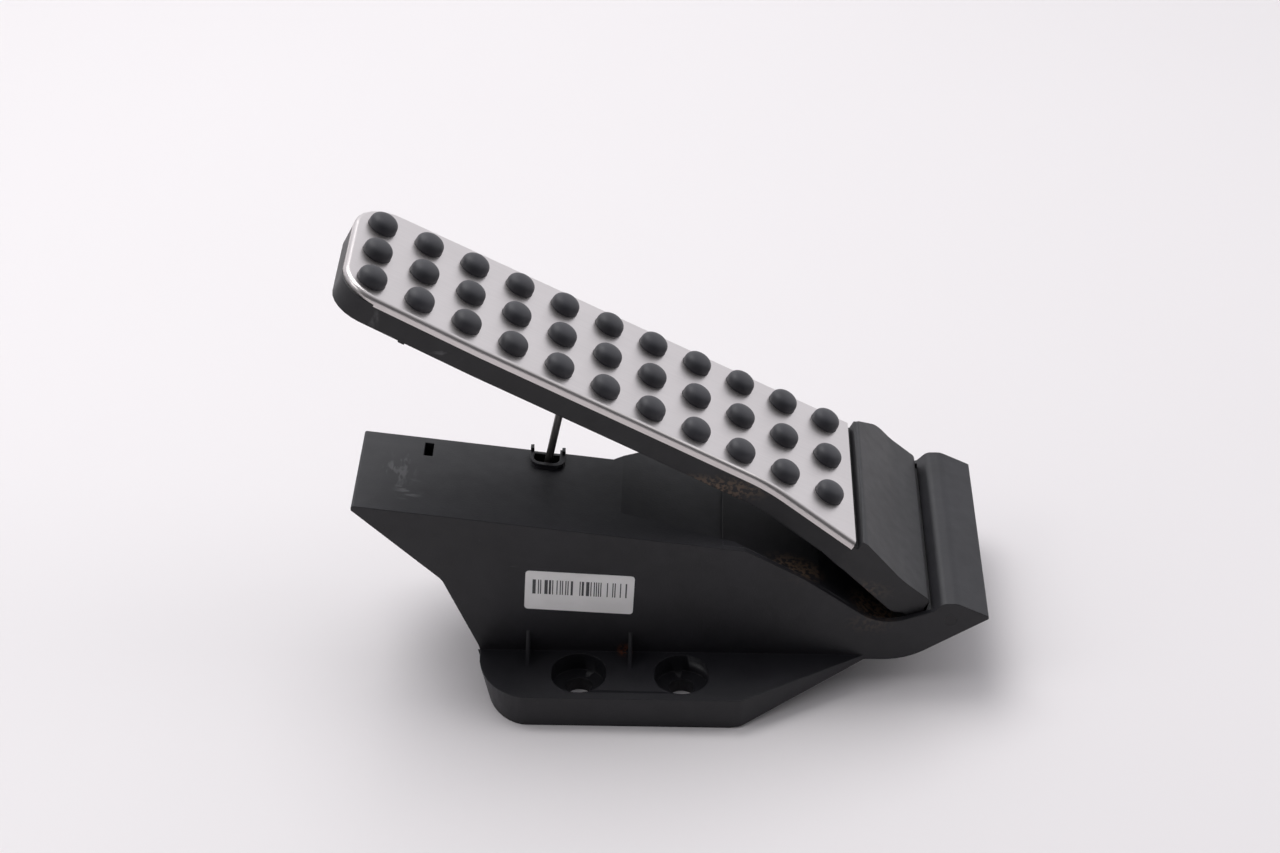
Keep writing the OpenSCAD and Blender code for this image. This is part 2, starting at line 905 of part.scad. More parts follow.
module crank() {
  color("darkslategray")
    difference() {
      union() {
        across([0, crank_z], hub_r, hub_y[0], hub_y[1]);
        on_arm()
          side(cheek_y[0], cheek_y[1])
            polygon(rounded(cheek_outline, 5));
        side(spring_place[1] - 9, spring_place[1] + 9)
          polygon([
            [-10, spring_top + 0.2],
            [-6, crank_z - 3],
            [0, crank_z + 1],
            [-5, crank_z + 6.5],
            [-26, crank_z + 14],
            [-27.5, crank_z + 12.5],
            [-26.5, spring_top + 0.2]
          ]);
      }
      across([0, crank_z], shaft_r + 1.5 + press, hub_y[0] - 1, hub_y[1] + 1);
      // slot for the cross pin, open at this pivot
      on_arm() {
        for (u = [arm - 2.2, arm + 0.35])
          across([u, 0], cross_r + 0.3, cheek_y[0] - 1, cheek_y[1] + 1);
        translate([arm - 2.2, cheek_y[0] - 1, -cross_r - 0.3])
          cube([2.55, cheek_y[1] - cheek_y[0] + 2, 2 * cross_r + 0.6]);
        across([arm + 6, 0], 2.5 + slip, cheek_y[0] - 1, cheek_y[1] + 1);
      }
    }
}

module shaft_bushes() {
  color("goldenrod")
    for (y = [hub_y[0], hub_y[1] - 8])
      difference() {
        across([0, crank_z], shaft_r + 1.5, y, y + 8);
        across([0, crank_z], shaft_r + slip, y - 1, y + 9);
      }
}

module magnet() {
  color("silver")
    on_arm()
      across([arm + 6, 0], 2.5, cheek_y[0], cheek_y[1]);
}

housing();
base_cover();
base_screws();
sensor_cover();
cover_seal();
cover_screws();
crank_shaft();
hinge_pin();
return_spring_outer();
return_spring_inner();
friction_shoe();
rest_stop();
end_stop();
sensor_board();
hall_sensors();
terminals();
label();
treadle();
tread_plate();
stud_mat();
rod_socket();
push_rod();
cross_pin();
crank();
shaft_bushes();
magnet();
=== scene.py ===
# %% [markdown]
# # An accelerator pedal sensor
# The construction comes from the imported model: every solid is already in its place, in metres.
# This file gives each solid its finish, adds the forms that only a render needs, and lights the
# table. Where a form is added, it is added to a copy, and the solid stays as it is. A copy should
# lie just where its solid does. The treadle's doesn't, a known fault that its own cell names.

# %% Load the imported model
import bpy
import json
import math
from mathutils import Matrix, Vector

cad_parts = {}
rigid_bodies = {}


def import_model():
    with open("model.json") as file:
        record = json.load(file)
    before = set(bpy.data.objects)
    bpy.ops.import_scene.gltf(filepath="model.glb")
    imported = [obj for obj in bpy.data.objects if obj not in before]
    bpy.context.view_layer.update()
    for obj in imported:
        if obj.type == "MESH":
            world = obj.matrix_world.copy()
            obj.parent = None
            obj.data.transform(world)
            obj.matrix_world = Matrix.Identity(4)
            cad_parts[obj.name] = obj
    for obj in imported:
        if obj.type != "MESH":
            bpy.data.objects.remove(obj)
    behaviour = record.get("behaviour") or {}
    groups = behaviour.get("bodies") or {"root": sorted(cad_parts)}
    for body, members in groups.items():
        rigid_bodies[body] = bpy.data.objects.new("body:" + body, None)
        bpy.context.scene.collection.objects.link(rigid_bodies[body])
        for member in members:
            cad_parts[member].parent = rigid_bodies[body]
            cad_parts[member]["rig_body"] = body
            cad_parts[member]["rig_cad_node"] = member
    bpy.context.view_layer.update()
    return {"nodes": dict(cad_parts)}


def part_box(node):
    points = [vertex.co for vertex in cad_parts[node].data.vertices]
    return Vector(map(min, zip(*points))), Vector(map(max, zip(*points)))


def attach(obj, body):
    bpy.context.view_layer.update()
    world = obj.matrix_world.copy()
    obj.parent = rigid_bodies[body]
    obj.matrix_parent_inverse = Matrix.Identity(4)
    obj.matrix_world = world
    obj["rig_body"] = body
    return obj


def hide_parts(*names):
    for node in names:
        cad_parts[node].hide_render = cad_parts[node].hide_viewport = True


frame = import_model()

# %% [markdown]
# ## The camera
# The view was solved from the straight edges of the tread, the flange and the two bolt holes.
# It looks down on the part at about a third of a right angle, from its near side. A camera could
# also be aimed with a Track To constraint, but a matrix built from three angles says exactly
# which way is right, down and forward.

# %% Camera
MM = 0.001
view_yaw = math.radians(1.309)
view_pitch = math.radians(33.609)
view_roll = math.radians(-0.052)
view_place = Vector((19.486, -769.166, 583.733)) * MM
photo_width = 1280
focal_pixels = 2759.136

level = Vector((-math.sin(view_yaw), math.cos(view_yaw), 0))
aim = level * math.cos(view_pitch) - Vector((0, 0, 1)) * math.sin(view_pitch)
across = Vector((math.cos(view_yaw), math.sin(view_yaw), 0))
down = aim.cross(across)
right = across * math.cos(view_roll) + down * math.sin(view_roll)
down = down * math.cos(view_roll) - across * math.sin(view_roll)
lens = bpy.data.cameras.new("camera")
lens.sensor_width = 36
lens.lens = focal_pixels / photo_width * lens.sensor_width
camera = bpy.data.objects.new("camera", lens)
bpy.context.scene.collection.objects.link(camera)
camera.matrix_world = Matrix((
    (right.x, -down.x, -aim.x, view_place.x),
    (right.y, -down.y, -aim.y, view_place.y),
    (right.z, -down.z, -aim.z, view_place.z),
    (0, 0, 0, 1),
))
bpy.context.scene.camera = camera
print("lens:", round(lens.lens, 2), "mm")

# %% [markdown]
# ## Table and light
# The part stands on a white table under broad soft light. A large lamp gives soft shadows, and a
# small one hard shadows, so the main lamp is a metre wide and stands behind the part. Two weaker
# lamps fill the sides.

# %% Table and light
bpy.ops.object.select_all(action="DESELECT")
bpy.ops.mesh.primitive_plane_add(size=6, location=(0, 0, 0))
table = bpy.context.object
table.name = "table"
part_middle = Vector((0, 0, 0.06))


def lamp(name, place, size, power):
    """A square soft lamp that looks at the middle of the part."""
    light = bpy.data.lights.new(name, "AREA")
    light.size = size
    light.energy = power
    holder = bpy.data.objects.new(name, light)
    bpy.context.scene.collection.objects.link(holder)
    holder.location = place
    toward = part_middle - Vector(place)
    holder.rotation_euler = toward.to_track_quat("-Z", "Y").to_euler()


lamp("lamp_top", (-0.35, 0.6, 1.3), 1.0, 11)
lamp("lamp_left", (-1.0, -0.3, 0.8), 0.6, 2)
lamp("lamp_right", (1.0, 0.1, 0.7), 0.6, 1.5)
bpy.context.scene.view_settings.view_transform = "Standard"
print("lamps:", len(bpy.data.lights))

# %% [markdown]
# ## The room
# The room is brighter behind the part than in front of it. That is what the steel plate mirrors,
# so it looks pale, while the bent edge toward the camera picks up a darker band. A picture of a
# real room would do this too, but one direction turned into a strength is enough.

# %% The room
room = bpy.data.worlds.new("room")
room.use_nodes = True
room_nodes = room.node_tree.nodes
room_links = room.node_tree.links
direction = room_nodes.new("ShaderNodeTexCoord")
parts_of_it = room_nodes.new("ShaderNodeSeparateXYZ")
front_to_back = room_nodes.new("ShaderNodeMapRange")
front_to_back.inputs["From Min"].default_value = -0.6
front_to_back.inputs["From Max"].default_value = 0.7
front_to_back.inputs["To Min"].default_value = 0.12
front_to_back.inputs["To Max"].default_value = 0.95
room_links.new(direction.outputs["Generated"], parts_of_it.inputs[0])
room_links.new(parts_of_it.outputs["Y"], front_to_back.inputs["Value"])
room_links.new(front_to_back.outputs["Result"], room_nodes["Background"].inputs["Strength"])
room_nodes["Background"].inputs["Color"].default_value = (0.95, 0.95, 1.0, 1)
bpy.context.scene.world = room
print("world nodes:", len(room_nodes))

# %% [markdown]
# ## Shader maths
# A finish is easier to read as an expression than as a list of linked nodes. The class below
# wraps one socket, so that adding or multiplying two of them adds the Math node.

# %% Shader maths


def feed(tree, slot, value):
    """Links a wire to a slot, or writes a plain value in it."""
    if isinstance(value, Wire):
        tree.links.new(value.socket, slot)
    else:
        slot.default_value = value


class Wire:
    """One socket of a shader, with arithmetic that adds Math nodes."""

    def __init__(self, tree, socket):
        self.tree = tree
        self.socket = socket

    def math(self, operation, other=None, swap=False):
        node = self.tree.nodes.new("ShaderNodeMath")
        node.operation = operation
        pair = [self] if other is None else [self, other]
        for slot, value in zip(node.inputs, reversed(pair) if swap else pair):
            feed(self.tree, slot, value)
        return Wire(self.tree, node.outputs[0])

    def __add__(self, other):
        return self.math("ADD", other)

    def __sub__(self, other):
        return self.math("SUBTRACT", other)

    def __rsub__(self, other):
        return self.math("SUBTRACT", other, swap=True)

    def __mul__(self, other):
        return self.math("MULTIPLY", other)


# %% [markdown]
# ## A finish
# Every material of the part has one Principled shader. The class below makes one and has short
# ways to add noise, a soft step, a mix of two colours, and an egg-shaped region for a mark. All
# of them read Object coordinates, so a pattern keeps its place on the part when a joint turns.

# %% A finish


class Finish:
    """A material with one Principled shader and a short way to add nodes."""

    def __init__(self, name):
        self.material = bpy.data.materials.new(name)
        self.material.use_nodes = True
        self.tree = self.material.node_tree
        self.shader = self.tree.nodes["Principled BSDF"]

    def node(self, kind, settings=None, output=0, **values):
        """A new node with its inputs filled, as the wire of one output."""
        made = self.tree.nodes.new("ShaderNode" + kind)
        for key, value in (settings or {}).items():
            setattr(made, key, value)
        for key, value in values.items():
            feed(self.tree, made.inputs[key.replace("_", " ")], value)
        return Wire(self.tree, made.outputs[output])

    def place(self):
        """Object coordinates, in metres."""
        return self.node("TexCoord", output="Object")

    def set(self, **values):
        """Fills inputs of the Principled shader."""
        for key, value in values.items():
            feed(self.tree, self.shader.inputs[key.replace("_", " ")], value)

    def blend(self, mask, low, high):
        """The colour low where the mask is 0 and high where it is 1."""
        mix = self.tree.nodes.new("ShaderNodeMix")
        mix.data_type = "RGBA"
        for slot, value in ((mix.inputs[0], mask), (mix.inputs[6], low), (mix.inputs[7], high)):
            feed(self.tree, slot, value if isinstance(value, Wire) else (*value, 1))
        return Wire(self.tree, mix.outputs[2])

    def noise(self, scale, detail=3.0, stretch=(1, 1, 1)):
        """Soft noise from 0 to 1, with its size given per metre."""
        place = self.node("Mapping", Vector=self.place(), Scale=stretch)
        return self.node("TexNoise", output="Fac", Vector=place, Scale=scale, Detail=detail)

    def ramp(self, value, low, high):
        """0 at low and 1 at high, with a smooth step between."""
        return self.node(
            "MapRange", {"interpolation_type": "SMOOTHSTEP"}, output="Result",
            Value=value, From_Min=low, From_Max=high)

    def spot(self, centre, reach):
        """1 in the middle of an egg-shaped region and 0 outside it, in millimetres."""
        scale = [1 / (MM * r) for r in reach]
        shift_back = [-c / r for c, r in zip(centre, reach)]
        place = self.node("Mapping", Vector=self.place(), Scale=scale, Location=shift_back)
        far = self.node("VectorMath", {"operation": "LENGTH"}, output="Value", Vector=place)
        return self.ramp(far, 1.0, 0.25)


# %% [markdown]
# ## Black moulding
# Glass-filled nylon comes out of its mould matt, with a fine even grain, and its edges are never
# quite sharp. The edges could be rounded in the mesh, but the Bevel node rounds their shading
# alone, so that each edge catches a thin light and the solid keeps its size. Marks of use are
# egg-shaped regions broken up by noise: pale scuffs, brown dust in the gap beside the treadle
# and a trace of rust. The dust is painted brighter than dust alone would be. This is painted
# light in the shaded gap under the treadle.

# %% Black moulding
scuff_grey = (0.13, 0.13, 0.135)
# brown dust, painted brighter to stand in for light in the shaded gap under the treadle
dust_and_painted_light_colour = (0.19, 0.125, 0.08)
rust_brown = (0.11, 0.035, 0.016)
edge_radius = 0.5 * MM


def moulded(name, colour, dust_and_painted_light_spots=(), scuffs=(), rust=()):
    """The nylon of the housing and of the treadle, each with its own marks."""
    finish = Finish(name)
    cloud = finish.noise(45.0)
    fine = finish.noise(1500.0, detail=2.0)
    shade = finish.ramp(cloud, 0.3, 0.75)
    base = finish.blend(shade, [c * 0.85 for c in colour], [c * 1.25 for c in colour])
    # dust regions, whose brightened colour is partly real dust and partly painted light in the
    # shade
    for centre, reach in dust_and_painted_light_spots:
        speck = finish.ramp(finish.noise(700.0), 0.42, 0.6) * 0.75
        base = finish.blend(finish.spot(centre, reach) * speck, base, dust_and_painted_light_colour)
    for centre, reach in rust:
        speck = finish.ramp(finish.noise(900.0), 0.47, 0.56)
        base = finish.blend(finish.spot(centre, reach) * speck, base, rust_brown)
    worn = None
    for centre, reach, stretch in scuffs:
        streak = finish.ramp(finish.noise(260.0, stretch=stretch), 0.52, 0.66)
        mark = finish.spot(centre, reach) * streak
        worn = mark + worn if worn else mark
    if worn:
        base = finish.blend(worn * 0.5, base, scuff_grey)
    round_edge = finish.node("Bevel", {"samples": 4}, Radius=edge_radius)
    bump = finish.node(
        "Bump", Height=fine, Strength=0.35, Distance=0.12 * MM, Normal=round_edge)
    finish.set(Base_Color=base, Roughness=finish.noise(220.0) * 0.16 + 0.4, Normal=bump)
    finish.set(Specular_IOR_Level=0.45)
    return finish.material


# %% [markdown]
# Each mark has a centre and a reach in millimetres, read from where it lies on the part, and a
# scuff also has the stretch of its streaks. The plastics differ a little, because the treadle is
# rubbed by shoes and the housing isn't.

# %% The black mouldings and their marks
housing_black = moulded(
    "housing_black", (0.0112, 0.0108, 0.0138),
    # dust in the pocket under the treadle: real dust, with painted light in its brightened colour
    dust_and_painted_light_spots=[((79, -37, 25), (17, 9, 9)), ((55, -36, 42), (16, 9, 7))],
    scuffs=[
        ((-77, -20, 68), (7, 14, 6), (1.6, 0.5, 1)),
        ((-73, -31, 67), (6, 8, 6), (0.5, 1.6, 1)),
        ((-34, -32, 62), (5, 2.5, 5), (1, 1, 1)),
        ((-40, -44, 46), (3.5, 2, 1), (0.4, 1, 2)),
        ((-48.4, -44, 56.5), (1.6, 2, 2.2), (1, 1, 1)),
    ],
    rust=[((-2.2, -44, 11.5), (3.4, 3.5, 4.2))])
treadle_black = moulded(
    "treadle_black", (0.0135, 0.0132, 0.0152),
    # dust on the treadle, in the same brightened dust colour that carries painted light
    dust_and_painted_light_spots=[((70, -36, 36), (24, 9, 9)), ((20, -30, 68), (30, 6, 7))],
    scuffs=[
        ((-82, -28, 130), (5, 4, 6), (1, 1, 0.4)),
        ((-60, -29, 117), (9, 4, 5), (0.6, 1, 1.4)),
    ])
cover_plastic = moulded("cover_plastic", (0.014, 0.014, 0.0155))
print("mouldings:", housing_black.name, treadle_black.name, cover_plastic.name)

# %% [markdown]
# ## Brushed steel
# The plate is stainless sheet, brushed along its length. Anisotropy in the shader would blur its
# highlights one way, but noise squeezed across the brushing and stretched along it shows the fine
# lines themselves, in colour, roughness and relief.

# %% Brushed steel
tread_angle = math.radians(27.65)
steel = (0.67, 0.635, 0.625)
steel_roughness = 0.33

brushing = Finish("steel_plate")
turned = brushing.node(
    "Mapping", Vector=brushing.place(), Rotation=(0, -tread_angle, 0), Scale=(1, 1, 1))
lines = brushing.node("Mapping", Vector=turned, Scale=(14, 900, 900))
hair = brushing.node("TexNoise", output="Fac", Vector=lines, Scale=5.0, Detail=4.0)
tone = brushing.ramp(hair * 0.6 + brushing.noise(30.0) * 0.4, 0.25, 0.75)
brushing.set(
    Base_Color=brushing.blend(
        tone, [c * 0.93 for c in steel], [min(1, c * 1.05) for c in steel]),
    Roughness=hair * 0.12 + (steel_roughness - 0.06),
    Normal=brushing.node("Bump", Height=hair, Strength=0.12, Distance=0.04 * MM))
brushing.set(Metallic=1.0)
steel_plate = brushing.material
print("brushing turned by", round(math.degrees(tread_angle), 2), "degrees")

# %% [markdown]
# ## Rubber of the studs
# The rubber is matt and slightly blue. A little sheen lightens it where the surface turns away,
# as fine powder on rubber does, and soft noise keeps the studs from being one even colour.

# %% Rubber of the studs
studding = Finish("stud_rubber")
studding.set(
    Base_Color=studding.blend(
        studding.ramp(studding.noise(60.0), 0.3, 0.7),
        (0.023, 0.0225, 0.028), (0.031, 0.0305, 0.038)),
    Roughness=studding.noise(200.0) * 0.1 + 0.5,
    Normal=studding.node(
        "Bump", Height=studding.noise(1400.0, detail=2.0), Strength=0.2, Distance=0.1 * MM))
studding.set(Sheen_Weight=0.12, Sheen_Roughness=0.5)
stud_rubber = studding.material
print("studs:", stud_rubber.name)

# %% [markdown]
# ## The plain finishes
# The rod, the pins and the pieces inside need only a colour, a roughness and a fine grain, so one
# helper makes them all from a row of values.

# %% The plain finishes


def plain(name, colour, roughness, metallic=0.0, grain=0.1):
    """A moulded or machined finish with a little grain."""
    finish = Finish(name)
    finish.set(Base_Color=(*colour, 1), Roughness=roughness, Metallic=metallic)
    height = finish.noise(900.0)
    finish.set(Normal=finish.node("Bump", Height=height, Strength=grain, Distance=0.2 * MM))
    return finish.material


rubber = plain("rubber", (0.016, 0.016, 0.016), 0.62, grain=0.2)
rod_steel = plain("rod_steel", (0.27, 0.26, 0.25), 0.42, 1.0)
pin_steel = plain("pin_steel", (0.035, 0.034, 0.036), 0.5, 0.6)
bright_steel = plain("bright_steel", (0.5, 0.5, 0.5), 0.35, 1.0, grain=0.08)
spring_steel = plain("spring_steel", (0.3, 0.29, 0.28), 0.38, 1.0, grain=0.08)
acetal = plain("acetal", (0.7, 0.69, 0.65), 0.4)
bronze = plain("bronze", (0.55, 0.42, 0.2), 0.4, 1.0, grain=0.15)
board_green = plain("board_green", (0.02, 0.16, 0.07), 0.3)
print("finishes so far:", len(bpy.data.materials))

# %% [markdown]
# ## Sticker
# The white sticker on the near wall carries a field of upright bars and nothing to read. Bars
# could be thin boxes, but here they are cells along the sticker, each black or white by its own
# random number, so their widths vary as groups of cells join. A Mapping node of the TEXTURE kind
# puts zero at the middle of the sticker and turns the pattern with it.

# %% Sticker finish
label_low, label_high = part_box("label")
label_mid = (label_low + label_high) / 2
label_tilt = math.radians(2.6)
bar_cell = 0.36
bars_across = 15.6
bars_up = 2.9
bars_lift = 1.6

sticker = Finish("sticker")
flat = sticker.node(
    "Mapping", {"vector_type": "TEXTURE"}, Vector=sticker.place(), Location=label_mid,
    Rotation=(0, label_tilt, 0))
split = sticker.tree.nodes.new("ShaderNodeSeparateXYZ")
sticker.tree.links.new(flat.socket, split.inputs[0])
label_x = Wire(sticker.tree, split.outputs["X"])
label_z = Wire(sticker.tree, split.outputs["Z"])
cell = (label_x * (1 / (bar_cell * MM))).math("FLOOR")
chance = sticker.node("TexWhiteNoise", {"noise_dimensions": "1D"}, output="Value", W=cell)
inside_x = label_x.math("ABSOLUTE").math("LESS_THAN", bars_across * MM)
inside_z = (label_z - bars_lift * MM).math("ABSOLUTE").math("LESS_THAN", bars_up * MM)
ink = chance.math("GREATER_THAN", 0.56) * inside_x * inside_z
aged = sticker.ramp(sticker.noise(90.0), 0.35, 0.75)
paper_white = sticker.blend(aged, (0.9, 0.89, 0.88), (0.96, 0.95, 0.945))
sticker.set(Base_Color=sticker.blend(ink, paper_white, (0.06, 0.06, 0.065)), Roughness=0.28)
sticker.set(Coat_Roughness=0.15)
print("bars over", 2 * bars_across, "by", 2 * bars_up, "mm")

# %% [markdown]
# ## Each solid gets its finish
# The finishes are listed with the solids that wear them, so a change of plastic is one line. The
# copies that are made further down start with the finish of their solid.

# %% Each solid gets its finish
finishes = {
    housing_black: ["housing"],
    treadle_black: ["treadle"],
    cover_plastic: ["base_cover", "sensor_cover", "crank"],
    steel_plate: ["tread_plate"],
    stud_rubber: ["stud_mat"],
    rubber: ["cover_seal", "rest_stop", "end_stop", "hall_sensors"],
    rod_steel: ["push_rod"],
    pin_steel: ["hinge_pin"],
    bright_steel: ["crank_shaft", "cross_pin", "base_screws", "cover_screws", "magnet"],
    spring_steel: ["return_spring_outer", "return_spring_inner"],
    sticker.material: ["label"],
    acetal: ["rod_socket", "friction_shoe"],
    bronze: ["shaft_bushes", "terminals"],
    board_green: ["sensor_board"],
}
for material, names in finishes.items():
    for name in names:
        node = frame["nodes"][name]
        node.data.materials.clear()
        node.data.materials.append(material)
print("solids with a finish:", sum(len(names) for names in finishes.values()))

# %% [markdown]
# The table is a white board. Two whites that differ very little, mixed by wide noise, are enough
# to keep it from looking empty.

# %% The table's finish
paint = Finish("table_finish")
paint.set(
    Base_Color=paint.blend(paint.noise(3.0), (0.85, 0.815, 0.82), (0.88, 0.845, 0.85)),
    Roughness=0.6)
table.data.materials.append(paint.material)
print("table:", paint.material.name)

# %% [markdown]
# ## Working on copies
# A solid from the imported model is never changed, so a piece that needs more shape starts as a
# copy of it. The solid's mesh is loose triangles: doubled corners are merged, and triangles that
# lie in one plane become one face, so that smooth shading treats a flat wall as flat.

# %% Copies


def pick(piece):
    """Only this piece is selected and active."""
    bpy.ops.object.select_all(action="DESELECT")
    piece.select_set(True)
    bpy.context.view_layer.objects.active = piece


def join(pieces):
    """Makes one piece of several, under the name of the first."""
    pick(pieces[0])
    for piece in pieces:
        piece.select_set(True)
    bpy.ops.object.join()
    return bpy.context.object


def triangles(piece):
    return sum(len(face.vertices) - 2 for face in piece.data.polygons)


def copy_of(node_name, name):
    """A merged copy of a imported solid."""
    pick(frame["nodes"][node_name])
    bpy.ops.object.duplicate()
    piece = bpy.context.object
    piece.name = name
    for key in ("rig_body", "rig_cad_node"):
        if key in piece:
            del piece[key]
    piece.parent = None
    bpy.ops.object.mode_set(mode="EDIT")
    bpy.ops.mesh.select_all(action="SELECT")
    bpy.ops.mesh.remove_doubles(threshold=1e-6)
    bpy.ops.mesh.dissolve_limited(angle_limit=math.radians(0.5))
    bpy.ops.object.mode_set(mode="OBJECT")
    return piece


# %% [markdown]
# ## Adding and cutting
# Solids are added to a copy or cut from it with the Boolean modifier, as a mould maker adds or
# cuts steel. Each such solid is a loft: rings of corners with faces between them. It could be
# extruded by hand, but rings in code keep every measure in sight.

# %% Lofts and Booleans


def solid(name, points, faces):
    """A closed solid from its corners, in millimetres, with its faces turned outward."""
    mesh = bpy.data.meshes.new(name)
    mesh.from_pydata([[c * MM for c in p] for p in points], [], faces)
    piece = bpy.data.objects.new(name, mesh)
    bpy.context.scene.collection.objects.link(piece)
    pick(piece)
    bpy.ops.object.mode_set(mode="EDIT")
    bpy.ops.mesh.select_all(action="SELECT")
    bpy.ops.mesh.normals_make_consistent(inside=False)
    bpy.ops.object.mode_set(mode="OBJECT")
    return piece


def loft(name, rings):
    """A solid through rings of corners that all have as many points."""
    count = len(rings[0])
    points = [p for ring in rings for p in ring]
    faces = [list(range(count)), list(range(len(points) - count, len(points)))]
    for k in range(len(rings) - 1):
        near = k * count
        far = near + count
        for i in range(count):
            j = (i + 1) % count
            faces.append([near + i, near + j, far + j, far + i])
    return solid(name, points, faces)


def prism(name, outline, low, high):
    """An upright solid over an outline, between two heights."""
    return loft(name, [[(x, y, z) for x, y in outline] for z in (low, high)])


def join_or_cut(piece, tool, operation):
    """Adds the tool to the piece or cuts it out, and removes the tool."""
    pick(piece)
    step = piece.modifiers.new(operation.lower(), "BOOLEAN")
    step.operation = operation
    step.solver = "EXACT"
    step.object = tool
    bpy.ops.object.modifier_apply(modifier=step.name)
    bpy.data.objects.remove(tool)


def smooth(piece, degrees=32):
    """Smooth shading up to an angle, where large flat faces keep their own direction."""
    pick(piece)
    bpy.ops.object.shade_smooth_by_angle(angle=math.radians(degrees))
    lean = piece.modifiers.new("lean", "WEIGHTED_NORMAL")
    lean.weight = 100
    lean.keep_sharp = True
    bpy.ops.object.modifier_apply(modifier="lean")


# %% [markdown]
# ## Housing
# The housing is one black moulding. Its forms near the treadle are added to a copy of the solid
# or stand in it, so the copy comes first.

# %% A copy of the housing
shell = copy_of("housing", "housing_shell")
print("housing triangles at first:", triangles(shell))

# %% [markdown]
# ## The bank in the pocket
# Beside the treadle the near wall of the pocket leans outward as the treadle passes it, then
# follows the treadle's flare. The bank is its own piece, lofted through eleven stations: at each
# one it stands on the pocket floor and leans up to the wall's edge. A Boolean with so many
# slanted faces would damage the housing, so the bank lies in it as a separate solid.

# %% Bank
hinge_x = 105.5
hinge_z = 26.6
full_angle = math.radians(16.65)
floor_gap = 0.71
pocket_near = -30.5
flare_start = 74.7
flare = 0.3834
wall_inside = 41.95
wall_outside = -43
bank_lean = 1.35
bank_root = 0.6
edge_gap = 0.05
wall_edge = [
    (28, 54.55), (36, 53.6), (38.4, 52.9), (44, 49.7), (56, 42.9), (61, 39.4), (64, 37.2)]


def floor_height(x):
    """Height of the pocket floor under the pressed treadle."""
    return hinge_z + (hinge_x - x) * math.tan(full_angle) - floor_gap / math.cos(full_angle)


def wall_height(x):
    """Height of the near wall where the pocket opens."""
    for (x0, z0), (x1, z1) in zip(wall_edge, wall_edge[1:]):
        if x <= x1:
            return z0 + (z1 - z0) * (x - x0) / (x1 - x0)
    return wall_edge[-1][1]


stations = []
for x in (29.2, 34, 36, 38.4, 41, 44, 48, 52, 56, 59, 61.8):
    reach = (hinge_x - x) / math.cos(full_angle)
    foot = pocket_near - max(0, flare_start - reach) * flare
    low = floor_height(x)
    high = min(wall_height(x) - edge_gap, low + (foot + wall_inside) / bank_lean)
    edge = foot - bank_lean * (high - low)
    section = [(wall_outside, low - bank_root), (foot, low - bank_root)]
    section += [(foot, low), (edge, high), (wall_outside, high)]
    stations.append([(x, y, z) for y, z in section])
bank = loft("pocket_bank", stations)
bank.data.materials.append(housing_black)
smooth(bank)
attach(bank, "housing_body")
print("bank triangles:", triangles(bank))

# %% [markdown]
# ## Floor and flange
# Toward the heel of the treadle the pocket's floor rises, and the outer corner of the flange is
# a wide curve that narrows toward the base. The floor is a side view drawn across the pocket and
# added. The corner is cut by a tool that is hollowed to the curve, ring by ring.

# %% Floor and flange
floor_top = [
    (61.9, floor_height(61.9)), (67.3, 35.0), (80, 25.4), (85.3, 22.6), (90, 20.8),
    (96.5, 20.9), (102.4, 22)]
floor_under = [
    (102.4, 20.6), (97, 16.7), (90, 14.1), (84, 17.5), (78, 23.5), (70, 30.4), (61.9, 38.3)]
floor_sides = (-42.4, 43.4)
side_view = floor_top + floor_under
heel_floor = loft("heel_floor", [[(x, y, z) for x, z in side_view] for y in floor_sides])
join_or_cut(shell, heel_floor, "UNION")

corner_x = -33
corner_y = -47
corner_length = 22.2
flange_side = -44.25
clear = [(-33, -80), (-70, -80), (-70, flange_side)]
quarter = [math.radians(a) for a in range(0, 91, 9)]
corner = []
for width, height in ((14.6, -1), (14.8, 0), (17.4, 11.5), (17.4, 12)):
    ring = [(corner_x - width, flange_side)]
    for t in quarter:
        ring.append((corner_x - width * math.cos(t), corner_y - corner_length * math.sin(t)))
    corner.append([(x, y, height) for x, y in ring + clear])
join_or_cut(shell, loft("corner", corner), "DIFFERENCE")
print("housing triangles with floor and corner:", triangles(shell))

# %% [markdown]
# Two thin ears stand up from the far side of the collar. They are blocks rooted in the sloping
# top, whose height falls evenly along the part.

# %% Ears of the collar
top_at_zero = 58.05
top_fall = 0.1236
ear_height = 2.3
ear_root = 1
ear_plan = ((0, -2.2), (1.1, -2.2), (1.1, 0), (0, 0))


def top_height(x):
    """Height of the sloping top of the housing."""
    return top_at_zero - top_fall * x


for x in (-34.7, -24.2):
    plan = [(x + dx, y) for dx, y in ear_plan]
    ear = prism("ear", plan, top_height(x) - ear_root, top_height(x) + ear_height)
    join_or_cut(shell, ear, "UNION")
smooth(shell)
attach(shell, "housing_body")
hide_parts("housing")
print("housing triangles:", triangles(shell))

# %% [markdown]
# ## Sensor cover
# The cover sits below the top face, so that nothing of it shows from the driver's side. A slice
# comes off its top edge and off the roof of its socket, which is then closed again lower down.
# The neck between socket and cover is solid, so it is simply cut lower.

# %% Sensor cover
cover = copy_of("sensor_cover", "sensor_cover_shell")
socket_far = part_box("sensor_cover")[1].y / MM
plate_far = socket_far - 17
cover_drop = 1.95
roof_top = 51.3
roof_under = 49.8
neck_top = 49.9

